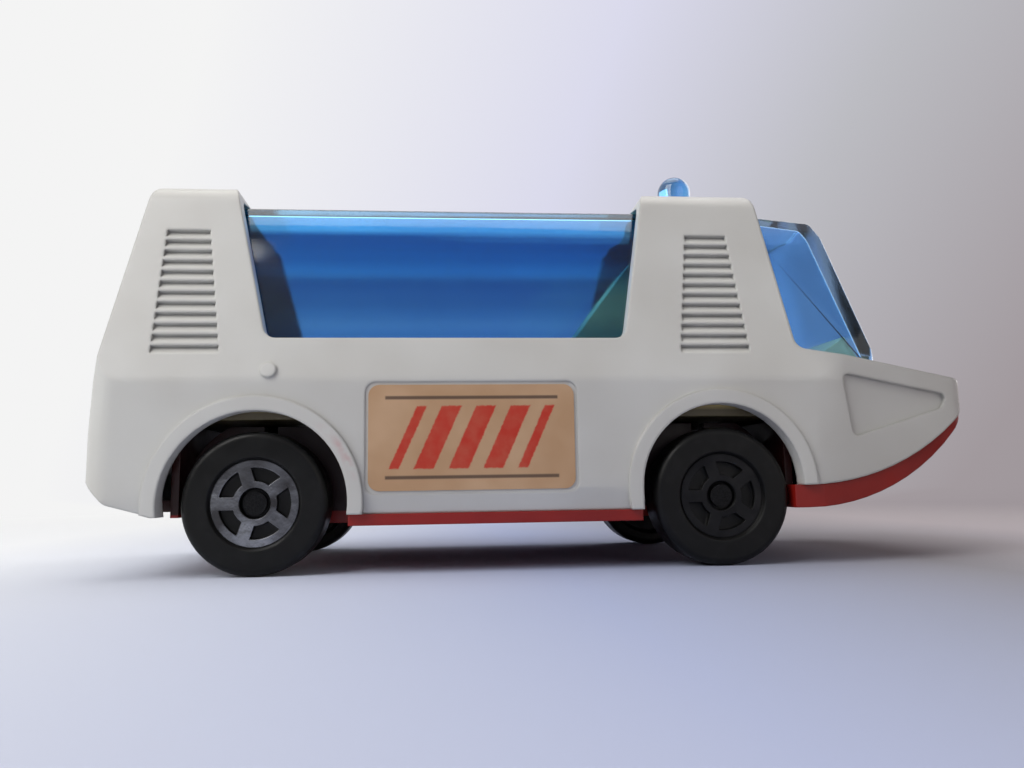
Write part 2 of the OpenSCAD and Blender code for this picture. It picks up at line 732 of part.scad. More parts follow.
module stretcher() {
    translate([0, 0, tray_floor - tray_t / 2])
        linear_extrude(bed_z - tray_floor + tray_t / 2) polygon(rounded([
        [tail_x + bed_back, -bed_w / 2, bed_r],
        [rest_x, -bed_w / 2, 0],
        [rest_x, bed_w / 2, 0],
        [tail_x + bed_back, bed_w / 2, bed_r]]));
    across([[rest_x, tray_floor - tray_t / 2],
            [rest_x + rest_t, tray_floor - tray_t / 2],
            [rest_x + rest_run + rest_t, rest_z],
            [rest_x + rest_run, rest_z]], 2 * rest_half_w);
    both_sides() translate([0, rest_half_w - tray_t / 2, 0])
        across([[rest_x, tray_floor - tray_t / 2],
                [rest_x + rest_run + rest_t, tray_floor - tray_t / 2],
                [rest_x + rest_run + rest_t, rest_z],
                [rest_x + rest_run, rest_z]], tray_t);
    translate([tail_x + bed_back + bed_r, -pillow_w / 2, bed_z - tray_t / 2])
        cube([pillow_l, pillow_w, pillow_h + tray_t / 2]);
}
module seat() translate([arch_x + seat_back, seat_y, 0]) {
    translate([0, 0, tray_floor - tray_t / 2]) cube([seat_run, seat_w, seat_z - tray_floor + tray_t / 2]);
    translate([0, seat_w, 0]) rotate([90, 0, 0]) linear_extrude(seat_w) polygon([
        [0, tray_floor], [seat_t, tray_floor], [seat_t, seat_z], [seat_t - seat_lean, seat_top_z],
        [-seat_lean, seat_top_z]]);
}
module dashboard() intersection() {
    across([[screen_foot - glass_t - dash_l, tray_floor - tray_t / 2],
            [screen_foot - glass_t, tray_floor - tray_t / 2],
            [screen_foot - glass_t - dash_gap, tray_rim_z], [screen_foot - glass_t - dash_slope, dash_z],
            [screen_foot - glass_t - dash_l, dash_z - dash_slope]]);
    glass_room(glass_t + dash_gap);
}
module steering() translate([screen_foot - steer_x, steer_y, steer_z]) rotate([0, -steer_lean, 0]) {
    rotate_extrude() translate([steer_d / 2 - steer_t / 2, 0]) circle(d = steer_t);
    translate([-steer_d / 2 + steer_t / 2, -steer_t / 2, -steer_t / 2])
        cube([steer_d - steer_t, steer_t, steer_t]);
    translate([0, 0, -steer_d]) cylinder(h = steer_d, r = column_r);
}
module interior() color("#e6d9a0") {
    difference() {
        tray_block(tray_low_z, tray_rim_z, 0);
        tray_block(tray_floor, tray_rim_z + over, tray_t);
    }
    leg(rear_x + leg_in);
    leg(front_x - leg_in);
    stretcher();
    both_sides() seat();
    dashboard();
    steering();
}

// the tailgate: a plate under a hinge barrel, with trunnions, a window and a grip
window_foot = 5.6;
window_head = 10.8;
window_foot_side = 3.1;
window_head_side = 1.4;
window_foot_w = gate_foot_w - 2 * window_foot_side;
window_head_w = gate_head_w - 2 * window_head_side;
window_r = 0.7;
window_lip = 0.25;
flange_w = 0.7;
flange_t = 0.5;
grip_w = 5;
grip_h = 1;
grip_z = 2.6;
grip_depth = 0.45;
rib_z = 4;
rib_h = 0.35;
function window_outline(d) = [
    [-window_foot_w / 2 - d, gate_foot + window_foot - d, window_r + d],
    [window_foot_w / 2 + d, gate_foot + window_foot - d, window_r + d],
    [window_head_w / 2 + d, gate_foot + window_head - d + 2 * d, window_r + d],
    [-window_head_w / 2 - d, gate_foot + window_head - d + 2 * d, window_r + d]];
module tailgate() color("#d8d8d2") on_tail() difference() {
    union() {
        intersection() {
            gate_prism(rounded(gate_outline(gate_gap)), 0, gate_t);
            translate([-over, -half_w, 0]) cube([gate_t + 2 * over, body_w, gate_top]);
        }
        barrel_at(barrel_r, -gate_head_w / 2 + gate_gap, gate_head_w - gate_gap - gate_head_w / 2);
        barrel_at(trunnion_r, -trunnion_end, trunnion_end);
    }
    gate_prism(rounded(window_outline(0)), -over, gate_t + over);
    translate([-over, -grip_w / 2, gate_foot + grip_z]) cube([over + grip_depth, grip_w, grip_h]);
    both_sides() translate([-over, grip_w / 2 + grip_h, gate_foot + rib_z - grip_h])
        cube([over + rib_h, grip_w / 2, rib_h]);
}
module tailgate_window() color("#2d6fbe") on_tail() {
    gate_prism(rounded(window_outline(-seat_gap)), window_lip, gate_t + flange_t / 2);
    gate_prism(rounded(window_outline(flange_w)), gate_t, gate_t + flange_t);
}

// axles, springs, wheels, foils and labels
recess_r = 1.1;
recess_depth = 0.95;
head_t = 0.4;
head_gap = 0.08;
head_y = track_w / 2 - recess_depth + head_gap;
module axle(x) color("#8c8c88") translate([x, 0, wheel_r]) rotate([90, 0, 0]) {
    cylinder(h = 2 * head_y, r = axle_r, center = true);
    for (s = [-1, 1]) translate([0, 0, s * (head_y + head_t / 2)])
        cylinder(h = head_t, d = head_d, center = true);
}
module front_axle() axle(front_x);
module rear_axle() axle(rear_x);
spring_tip = 1.2;
module spring(x, s) color("#2a2a2c")
    translate([x + s * (spring_l - spring_tip) / 2, 0, spring_z]) difference() {
    translate([-(spring_l + spring_tip) / 2, -spring_w / 2, 0])
        cube([spring_l + spring_tip, spring_w, spring_t]);
    translate([s * ((spring_l + spring_tip) / 2 - peg_in), 0, -over])
        cylinder(h = spring_t + 2 * over, r = peg_r + run_gap);
}
module front_spring() spring(front_x, -1);
module rear_spring() spring(rear_x, 1);

hub_r = hub_d / 2;
hub_depth = 0.4;
hub_wall = 0.12;
rim_w = 0.62;
spoke_w = 0.95;
nave_r = 1.62;
pocket_depth = 0.45;
tyre_r = 0.55;
back_r = 3.9;
back_depth = 1.3;
back_draft = 0.25;
nave_back_r = 1.35;
wheel_play = 0.2;
wheel_in = track_w / 2 - wheel_w;
nave_back = wheel_in - spine_half - wheel_play;
wheel_outline = [
    [axle_r + run_gap, -nave_back, 0],
    [nave_back_r, -nave_back, 0],
    [nave_back_r, back_depth, 0],
    [back_r, back_depth, 0],
    [back_r + back_draft, 0, 0],
    [wheel_r, 0, tyre_r],
    [wheel_r, wheel_w, tyre_r],
    [hub_r + hub_wall, wheel_w, 0],
    [hub_r, wheel_w - hub_depth, 0],
    [recess_r, wheel_w - hub_depth, 0],
    [recess_r, wheel_w - recess_depth, 0],
    [axle_r + run_gap, wheel_w - recess_depth, 0]];
module pocket() intersection() {
    difference() {
        circle(r = hub_r - rim_w);
        circle(r = nave_r);
    }
    polygon([[spoke_w / 2 / sin(180 / spokes), 0],
             [hub_r * cos(180 / spokes) + spoke_w / 2 / sin(180 / spokes), hub_r * sin(180 / spokes)],
             [2 * hub_r, 0],
             [hub_r * cos(180 / spokes) + spoke_w / 2 / sin(180 / spokes), -hub_r * sin(180 / spokes)]]);
}
module pockets() for (i = [0:spokes - 1]) rotate(i * 360 / spokes) pocket();
module placed(x, s) translate([x, s * wheel_in, wheel_r]) rotate([-90 * s, 0, 0]) children();
module wheel(x, s) color("#1c1c1c") placed(x, s) difference() {
    rotate_extrude() polygon(rounded(wheel_outline));
    translate([0, 0, wheel_w - hub_depth - pocket_depth]) linear_extrude(pocket_depth + over) pockets();
}
foil_t = 0.08;
foil_in = 0.06;
module foil(x, s) color("#c8c8c8") placed(x, s) translate([0, 0, wheel_w - hub_depth]) linear_extrude(foil_t)
    difference() {
        circle(r = hub_r - foil_in);
        circle(r = recess_r + foil_in);
        pockets();
    }
module wheel_front_left() wheel(front_x, 1);
module wheel_front_right() wheel(front_x, -1);
module wheel_rear_left() wheel(rear_x, 1);
module wheel_rear_right() wheel(rear_x, -1);
module foil_front_left() foil(front_x, 1);
module foil_front_right() foil(front_x, -1);
module foil_rear_left() foil(rear_x, 1);
module foil_rear_right() foil(rear_x, -1);
module label(s) color("#c9a585") mirror([0, s > 0 ? 1 : 0, 0])
    translate([0, -half_w + label_t, 0]) label_plate(0, label_t);
module label_left() label(1);
module label_right() label(-1);

body();
base();
glazing();
interior();
tailgate();
tailgate_window();
front_axle();
rear_axle();
front_spring();
rear_spring();
wheel_front_left();
wheel_front_right();
wheel_rear_left();
wheel_rear_right();
foil_front_left();
foil_front_right();
foil_rear_left();
foil_rear_right();
label_left();
label_right();
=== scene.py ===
"""Looks of a pocket-size die-cast toy ambulance: cast and enamelled body and base, one-piece
tinted glazing, moulded interior, lifting tailgate, sprung axles, foiled wheels, paper labels."""
import math

import bpy
from mathutils import Matrix, Vector


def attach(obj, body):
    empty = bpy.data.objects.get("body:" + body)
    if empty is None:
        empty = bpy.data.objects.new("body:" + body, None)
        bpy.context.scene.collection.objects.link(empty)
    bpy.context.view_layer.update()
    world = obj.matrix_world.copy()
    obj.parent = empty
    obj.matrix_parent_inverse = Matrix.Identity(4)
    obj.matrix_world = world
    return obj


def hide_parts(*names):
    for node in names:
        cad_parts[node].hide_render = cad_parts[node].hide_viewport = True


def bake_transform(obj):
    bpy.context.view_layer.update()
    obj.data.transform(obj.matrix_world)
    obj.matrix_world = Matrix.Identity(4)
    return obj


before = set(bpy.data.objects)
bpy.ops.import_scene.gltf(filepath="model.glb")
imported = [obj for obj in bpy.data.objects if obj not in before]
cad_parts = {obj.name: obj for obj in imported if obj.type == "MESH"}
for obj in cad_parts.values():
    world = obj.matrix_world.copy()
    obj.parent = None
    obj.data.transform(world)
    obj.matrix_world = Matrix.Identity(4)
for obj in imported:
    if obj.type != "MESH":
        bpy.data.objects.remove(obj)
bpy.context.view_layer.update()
MM = 0.001

# sizes in millimetres that the looks share with the part's source
REAR_X, FRONT_X, WHEEL_R = -22.4, 12.8, 5.3
REAR_ARCH_R = 6.8
LABEL_X, LABEL_Z = -6.4, 10.0
SPRING_L, SPRING_SEAT, SPRING_Z = 11.0, 3.0, 5.81
PLATE_TOP, BOX_TOP, BOX_HALF_W, BOX_REAR, BOX_FRONT = 4.5, 12.0, 11.6, -36.0, 19.2
TRAY_RIM, TRAY_SHADE = 12.7, 12.0
GLASS_FOOT, GLASS_PEAK = 16, 36
CAB_REAR, CAB_FRONT = 18, 20

SPRING_CUTS = 12
# the share of its width that the tailgate keeps
GATE_SLIM = 0.988


# ---- shader helper and colours
def ink(hex_colour):
    """An sRGB hex colour as linear RGBA."""
    parts = [int(hex_colour[i:i + 2], 16) / 255 for i in (1, 3, 5)]
    return tuple(c / 12.92 if c <= 0.04045 else ((c + 0.055) / 1.055) ** 2.4 for c in parts) + (1.0,)


def add(tree, kind, inputs=None, **settings):
    """Adds a node with its settings; an input is a value, or the output socket that feeds it."""
    node = tree.nodes.new("ShaderNode" + kind)
    for key, value in settings.items():
        setattr(node, key, value)
    for key, value in (inputs or {}).items():
        if isinstance(value, bpy.types.NodeSocket):
            tree.links.new(value, node.inputs[key])
        else:
            node.inputs[key].default_value = value
    return node


def start(name):
    """A new material: its tree, Object coordinates in millimetres, and its Principled shader."""
    mat = bpy.data.materials.new(name)
    mat.use_nodes = True
    tree = mat.node_tree
    tree.nodes.clear()
    place = add(tree, "TexCoord").outputs["Object"]
    mm = add(tree, "VectorMath", {0: place, 1: (1000, 1000, 1000)}, operation="MULTIPLY").outputs[0]
    surface = add(tree, "BsdfPrincipled")
    add(tree, "OutputMaterial", {"Surface": surface.outputs[0]})
    return mat, tree, mm, surface


def patches(tree, mm, size, detail=2.0, low=0.35, high=0.65):
    """Soft patches of about that size in millimetres, from 0 to 1."""
    noise = add(tree, "TexNoise", {"Vector": mm, "Scale": 1 / size, "Detail": detail})
    return add(tree, "MapRange", {0: noise.outputs["Fac"], 1: low, 2: high}).outputs[0]


def mixed(tree, factor, a, b):
    """Colour a at factor 0 and b at factor 1."""
    return add(tree, "Mix", {0: factor, 6: a, 7: b}, data_type="RGBA").outputs[2]


def sums(tree, operation, a, b=0.0, c=0.0):
    """One step of arithmetic on numbers or sockets."""
    return add(tree, "Math", {0: a, 1: b, 2: c}, operation=operation).outputs[0]


def band(tree, value, low, high, soft):
    """1 where value lies between low and high, 0 outside, with soft edges."""
    rise = add(tree, "MapRange", {0: value, 1: low - soft, 2: low + soft}).outputs[0]
    fall = add(tree, "MapRange", {0: value, 1: high + soft, 2: high - soft}).outputs[0]
    return sums(tree, "MULTIPLY", rise, fall)


def grain(tree, surface, mm, size, depth, edge=0.0):
    """Relief of that grain size and depth in millimetres, over edges softened by that radius."""
    noise = add(tree, "TexNoise", {"Vector": mm, "Scale": 1 / size, "Detail": 3.0}).outputs["Fac"]
    relief = {"Height": noise, "Strength": 1.0, "Distance": depth * MM}
    if edge:
        relief["Normal"] = add(tree, "Bevel", {"Radius": edge * MM}, samples=4).outputs[0]
    tree.links.new(add(tree, "Bump", relief).outputs[0], surface.inputs["Normal"])


def sheen(tree, surface, where, low, high):
    """Roughness that goes from low to high as where goes from 0 to 1."""
    gloss = add(tree, "MapRange", {0: where, 3: low, 4: high}).outputs[0]
    tree.links.new(gloss, surface.inputs["Roughness"])


def settle(surface, **values):
    """Sets the shader's own sockets."""
    for key, value in values.items():
        surface.inputs[key.replace("_", " ")].default_value = value


# ---- materials
def enamel_white():
    """Stoved white enamel on zinc alloy: soft gloss, faint orange peel, painted shade greying the recesses, a
    red rub.
    """
    mat, tree, mm, surface = start("zinc_alloy_white_enamel")
    x, y, z = add(tree, "SeparateXYZ", {0: mm}).outputs
    tone = mixed(tree, patches(tree, mm, 9), ink("#d0d0cc"), ink("#c8c7c2"))
    # painted shade: ambient occlusion greys the recesses, more in some patches than in others
    nook = add(tree, "AmbientOcclusion", {"Distance": 0.9 * MM}, samples=4).outputs["AO"]
    recess_shade = add(tree, "MapRange", {0: nook, 1: 0.8, 2: 0.25, 4: 0.3}).outputs[0]
    recess_shade = sums(tree, "MULTIPLY", recess_shade, patches(tree, mm, 2.5, low=0.2, high=0.5))
    tone = mixed(tree, recess_shade, tone, ink("#77756f"))
    # a faint red rub along the front of the rear wheel arch's lip
    along = sums(tree, "SUBTRACT", x, REAR_X)
    above = sums(tree, "SUBTRACT", z, WHEEL_R)
    spoke = add(tree, "CombineXYZ", {0: along, 2: above}).outputs[0]
    radius = add(tree, "VectorMath", {0: spoke}, operation="LENGTH").outputs["Value"]
    rub = band(tree, radius, REAR_ARCH_R + 0.45, REAR_ARCH_R + 0.8, 0.25)
    rub = sums(tree, "MULTIPLY", rub, band(tree, z, 7.6, 10.4, 0.9))
    rub = sums(tree, "MULTIPLY", rub, band(tree, along, 4, 9, 0.5))
    rub = sums(tree, "MULTIPLY", rub, add(tree, "MapRange", {0: y, 1: 0, 2: -1}).outputs[0])
    rub = sums(tree, "MULTIPLY", rub, patches(tree, mm, 0.8, low=0.35, high=0.6))
    tone = mixed(tree, sums(tree, "MULTIPLY", rub, 0.45), tone, ink("#c0606a"))
    tree.links.new(tone, surface.inputs["Base Color"])
    sheen(tree, surface, patches(tree, mm, 4), 0.3, 0.42)
    grain(tree, surface, mm, 0.7, 0.006, edge=0.3)
    settle(surface, IOR=1.5)
    return mat


def enamel_red():
    """Stoved red enamel on zinc alloy: soft gloss, dull scuffs, and the wheel boxes painted almost black as
    shade.
    """
    mat, tree, mm, surface = start("zinc_alloy_red_enamel")
    x, y, z = add(tree, "SeparateXYZ", {0: mm}).outputs
    tone = mixed(tree, patches(tree, mm, 5), ink("#981b13"), ink("#871610"))
    # the walls of the wheel boxes stand above the plate and inside its edges; there the red is painted almost
    # black as shade
    wheel_box_shade = sums(tree, "MULTIPLY", band(tree, z, PLATE_TOP, BOX_TOP, 0.06),
                 band(tree, y, -BOX_HALF_W, BOX_HALF_W, 0.1))
    wheel_box_shade = sums(tree, "MULTIPLY", wheel_box_shade, band(tree, x, BOX_REAR, BOX_FRONT, 0.1))
    tone = mixed(tree, sums(tree, "MULTIPLY", wheel_box_shade, 0.93), tone, ink("#0d0a0a"))
    tree.links.new(tone, surface.inputs["Base Color"])
    sheen(tree, surface, patches(tree, mm, 2), 0.28, 0.45)
    grain(tree, surface, mm, 0.6, 0.006, edge=0.15)
    settle(surface, IOR=1.5)
    return mat


def styrene_blue():
    """Moulded polystyrene, tinted clear blue, with painted light and shade: paler across the sides, above the
    shoulders and at the cab, deeper under the shoulders; faint flow marks in the gloss.
    """
    mat, tree, mm, surface = start("polystyrene_clear_blue")
    shown = surface.outputs[0].links[0].to_socket
    x, _, z = add(tree, "SeparateXYZ", {0: mm}).outputs
    # painted light and shade in the colour by height: light across the middle of the sides, painted shade
    # under the shoulders, light above them
    height = add(tree, "MapRange", {0: z, 1: GLASS_FOOT, 2: GLASS_PEAK}).outputs[0]
    tint_light_and_shade = add(tree, "ValToRGB", {0: height})
    stops = tint_light_and_shade.color_ramp.elements
    stops[0].color, stops[1].color = ink("#4182c4"), ink("#5fa8f2")
    for level, colour in ((18.4, "#5e9bd1"), (20.0, "#92c4e8"), (21.5, "#a6d1ed"), (22.6, "#90c4e7"),
                          (23.6, "#5196cb"), (24.8, "#2c76b4"), (27.0, "#246eae"), (27.7, "#7ccefa"),
                          (31.6, "#7ccefa"), (32.4, "#74b2e2")):
        stops.new((level - GLASS_FOOT) / (GLASS_PEAK - GLASS_FOOT)).color = ink(colour)
    # painted light: toward the cab the glass turns a paler blue
    cab = add(tree, "MapRange", {0: x, 1: CAB_REAR, 2: CAB_FRONT}).outputs[0]
    tone = mixed(tree, cab, tint_light_and_shade.outputs[0], ink("#a4d2fc"))
    tone = mixed(tree, sums(tree, "MULTIPLY", patches(tree, mm, 14), 0.12), tone, ink("#2f80bc"))
    tree.links.new(tone, surface.inputs["Base Color"])
    sheen(tree, surface, patches(tree, mm, 3), 0.05, 0.11)
    grain(tree, surface, mm, 6, 0.02)
    settle(surface, IOR=1.55, Transmission_Weight=1.0)
    # light from the lamps passes the wall, half the tint at each of its two faces, and reaches the interior
    film = add(tree, "BsdfTransparent", {"Color": add(tree, "Gamma", {0: tone, 1: 0.5}).outputs[0]})
    shadow = add(tree, "LightPath").outputs["Is Shadow Ray"]
    lit = add(tree, "MixShader", {0: shadow, 1: surface.outputs[0], 2: film.outputs[0]})
    tree.links.new(lit.outputs[0], shown)
    return mat


def styrene_yellow():
    """Moulded polystyrene, pale yellow: satin, with faint flow marks from the mould."""
    mat, tree, mm, surface = start("polystyrene_pale_yellow")
    z = add(tree, "SeparateXYZ", {0: mm}).outputs[2]
    tone = mixed(tree, patches(tree, mm, 6), ink("#e6d08a"), ink("#dcc47c"))
    # below the rim the tray closes the wheel boxes, and there its yellow is painted almost black as shade
    underside_shade = add(tree, "MapRange", {0: z, 1: TRAY_RIM, 2: TRAY_SHADE, 4: 0.9}).outputs[0]
    tone = mixed(tree, underside_shade, tone, ink("#1d1710"))
    tree.links.new(tone, surface.inputs["Base Color"])
    sheen(tree, surface, patches(tree, mm, 2), 0.35, 0.5)
    grain(tree, surface, mm, 0.5, 0.008, edge=0.12)
    settle(surface, IOR=1.59)
    return mat


def acetal_black():
    """Moulded black acetal: low sheen, with grey dust rubbed into the tread."""
    mat, tree, mm, surface = start("acetal_moulded_black")
    tone = mixed(tree, patches(tree, mm, 1.2, low=0.5, high=0.75), ink("#080808"), ink("#121212"))
    tree.links.new(tone, surface.inputs["Base Color"])
    sheen(tree, surface, patches(tree, mm, 1.5), 0.32, 0.5)
    grain(tree, surface, mm, 0.4, 0.006, edge=0.2)
    settle(surface, IOR=1.48, Specular_IOR_Level=0.3)
    return mat


def foil(name, bright, worn, rough):
    """Hot-stamped silver foil on a hub: dull mirror with soft dents, dimmed where fingers rubbed it."""
    mat, tree, mm, surface = start(name)
    rubbed = patches(tree, mm, 2.2, low=0.3, high=0.7)
    tree.links.new(mixed(tree, rubbed, ink(worn), ink(bright)), surface.inputs["Base Color"])
    sheen(tree, surface, rubbed, rough + 0.12, rough)
    grain(tree, surface, mm, 1.3, 0.05, edge=0.1)
    settle(surface, Metallic=1.0)
    return mat


def steel_wire():
    """Drawn steel wire with swaged ends: grey metal darkened almost to black as painted shade for the axle
    heads sunk in the hubs, with fine draw lines round its axis.
    """
    mat, tree, mm, surface = start("steel_wire_drawn")
    lines = add(tree, "VectorMath", {0: mm, 1: (12, 0.3, 12)}, operation="MULTIPLY").outputs[0]
    # painted shade: the steel's colour is held almost black
    tone = mixed(tree, patches(tree, lines, 1.0), ink("#2e2e2f"), ink("#1f1f20"))
    tree.links.new(tone, surface.inputs["Base Color"])
    sheen(tree, surface, patches(tree, mm, 0.8), 0.3, 0.5)
    grain(tree, surface, mm, 0.3, 0.004)
    settle(surface, Metallic=1.0)
    return mat


def acetal_strip():
    """Black acetal strip, punched from sheet: satin faces with a fine drawn grain along the length."""
    mat, tree, mm, surface = start("acetal_strip_black")
    lines = add(tree, "VectorMath", {0: mm, 1: (0.3, 6, 6)}, operation="MULTIPLY").outputs[0]
    tone = mixed(tree, patches(tree, lines, 1.0), ink("#1b1b1c"), ink("#2a2a2b"))
    tree.links.new(tone, surface.inputs["Base Color"])
    sheen(tree, surface, patches(tree, mm, 1.0), 0.4, 0.55)
    grain(tree, surface, lines, 0.5, 0.004)
    settle(surface, IOR=1.48)
    return mat


def label_paper():
    """Varnished paper, gone tan with age, printed with slanted red bars between two dark rules."""
    mat, tree, mm, surface = start("paper_varnished_print")
    x, y, z = add(tree, "SeparateXYZ", {0: mm}).outputs
    across = sums(tree, "SUBTRACT", x, LABEL_X)
    up = sums(tree, "SUBTRACT", z, LABEL_Z)
    tone = mixed(tree, patches(tree, mm, 4), ink("#c9a582"), ink("#bd9772"))
    # print edges wander a little, as on cheap absorbent paper
    wander = add(tree, "TexNoise", {"Vector": mm, "Scale": 4.0}).outputs["Fac"]
    wander = sums(tree, "MULTIPLY_ADD", wander, 0.16, -0.08)
    lean, half_pitch, half_gap, row_half, bar_half, blur = 0.45, 1.3, 0.55, 5.2, 2.35, 0.06
    slant = sums(tree, "ADD", sums(tree, "MULTIPLY_ADD", up, -lean, across), wander)
    step = sums(tree, "PINGPONG", sums(tree, "ADD", slant, half_pitch), half_pitch)
    bars = band(tree, step, half_gap, 2 * half_pitch, blur)
    bars = sums(tree, "MULTIPLY", bars, band(tree, slant, -row_half, row_half, blur))
    bars = sums(tree, "MULTIPLY", bars, band(tree, sums(tree, "ADD", up, wander), -bar_half, bar_half, blur))
    worn = sums(tree, "MULTIPLY_ADD", patches(tree, mm, 1.1), 0.12, 0.86)
    tone = mixed(tree, sums(tree, "MULTIPLY", bars, worn), tone, ink("#c22c17"))
    height = add(tree, "Math", {0: up}, operation="ABSOLUTE").outputs[0]
    rules = sums(tree, "MULTIPLY", band(tree, height, 2.85, 3.1, 0.05),
                 band(tree, across, -6.5, 6.5, 0.05))
    tone = mixed(tree, sums(tree, "MULTIPLY", rules, 0.8), tone, ink("#3b2b26"))
    tree.links.new(tone, surface.inputs["Base Color"])
    sheen(tree, surface, patches(tree, mm, 2), 0.38, 0.52)
    grain(tree, surface, mm, 0.25, 0.004)
    settle(surface, IOR=1.48)
    return mat


WHITE, RED = enamel_white(), enamel_red()
BLUE, YELLOW = styrene_blue(), styrene_yellow()
BLACK, WIRE, STRIP, PAPER = acetal_black(), steel_wire(), acetal_strip(), label_paper()
# painted shade: both foils' silver is darkened, standing for the dark room a hub would mirror; the front pair
# is darker still, partly as wear and partly as painted shade
FOIL_BRIGHT = foil("foil_silver_bright", "#8b8d93", "#4c4b4d", 0.16)
FOIL_WORN_SHADED = foil("foil_silver_worn_shaded", "#343435", "#28282a", 0.4)


# ---- pieces
def pick(piece):
    """Makes piece the only selected object and the active one."""
    bpy.ops.object.select_all(action="DESELECT")
    piece.select_set(True)
    bpy.context.view_layer.objects.active = piece


def even_shading(piece):
    """Lets the larger faces rule the shading, so that flats stay flat beside their rounded edges."""
    bpy.ops.object.modifier_add(type="WEIGHTED_NORMAL")
    normals = piece.modifiers[-1]
    normals.mode = "FACE_AREA"
    normals.weight = 50
    normals.keep_sharp = True
    bpy.ops.object.modifier_apply(modifier=normals.name)


def cast(node, name, material, body, edge, segments=2, joined=True, crease=32, crisp=20):
    """A piece on a CAD node's shape: seams merged, edges over the crease angle rounded off."""
    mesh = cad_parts[node].data.copy()
    mesh.materials.clear()
    piece = bpy.data.objects.new(name, mesh)
    bpy.context.scene.collection.objects.link(piece)
    pick(piece)
    bpy.ops.mesh.customdata_custom_splitnormals_clear()
    bpy.ops.object.mode_set(mode="EDIT")
    bpy.ops.mesh.select_all(action="SELECT")
    bpy.ops.mesh.remove_doubles(threshold=0.002 * MM)
    if joined:
        bpy.ops.mesh.dissolve_limited(angle_limit=math.radians(0.6))
    bpy.ops.object.mode_set(mode="OBJECT")
    if edge:
        bpy.ops.object.modifier_add(type="BEVEL")
        bevel = piece.modifiers[-1]
        bevel.width = edge * MM
        bevel.segments = segments
        bevel.limit_method = "ANGLE"
        bevel.angle_limit = math.radians(crease)
        bevel.use_clamp_overlap = False
        bevel.loop_slide = False
        bpy.ops.object.modifier_apply(modifier=bevel.name)
    bpy.ops.object.shade_smooth_by_angle(angle=math.radians(crisp))
    even_shading(piece)
    mesh.materials.append(material)
    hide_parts(node)
    if body:
        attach(piece, body)
    return piece


cast("body", "cast_body", WHITE, "chassis", 0, joined=False, crisp=22)
cast("base", "cast_base", RED, "chassis", 0, joined=False, crisp=22)
cast("glazing", "tinted_glazing", BLUE, "chassis", 0.2, 3, crisp=32)
cast("interior", "moulded_interior", YELLOW, "chassis", 0.08)
gate = cast("tailgate", "cast_tailgate", WHITE, "tailgate_set", 0.08, crisp=32)
pane = cast("tailgate_window", "tinted_tailgate_window", BLUE, "tailgate_set", 0.08)
# gate and pane are a hair narrower, so that they clear the sides of the opening when lifted right up
for piece in (gate, pane):
    pick(piece)
    bpy.ops.object.mode_set(mode="EDIT")
    bpy.ops.mesh.select_all(action="SELECT")
    bpy.ops.transform.resize(value=(1, GATE_SLIM, 1), center_override=(0, 0, 0))
    bpy.ops.object.mode_set(mode="OBJECT")
for end in ("front", "rear"):
    for side in ("left", "right"):
        cast(f"wheel_{end}_{side}", f"tyre_{end}_{side}", BLACK,
             f"{end}_{side}_wheel", 0.12, crisp=32)


# leaf springs: in the toy, strips staked to the base at one end that rise with the axle at the other; here
# each is cut into short lengths
def leaf_spring(end, axle_x, toward):
    """A spring strip, cut across into short lengths."""
    strip = cast(f"{end}_spring", f"leaf_{end}", STRIP, None, 0.05)
    pick(strip)
    bpy.ops.object.mode_set(mode="EDIT")
    for step in range(1, SPRING_CUTS):
        cut_x = axle_x + toward * step * SPRING_L / SPRING_CUTS
        bpy.ops.mesh.select_all(action="SELECT")
        bpy.ops.mesh.bisect(plane_co=(cut_x * MM, 0, 0), plane_no=(1, 0, 0))
    bpy.ops.object.mode_set(mode="OBJECT")
    bpy.ops.object.shade_smooth_by_angle(angle=math.radians(32))
    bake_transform(strip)


leaf_spring("rear", REAR_X, 1)
leaf_spring("front", FRONT_X, -1)

# the nodes that keep their CAD shape
KEPT = {"front_axle": WIRE, "rear_axle": WIRE, "label_left": PAPER, "label_right": PAPER,
        "foil_front_left": FOIL_WORN_SHADED, "foil_front_right": FOIL_WORN_SHADED,
        "foil_rear_left": FOIL_BRIGHT, "foil_rear_right": FOIL_BRIGHT}
for name, material in KEPT.items():
    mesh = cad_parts[name].data
    mesh.materials.clear()
    mesh.materials.append(material)


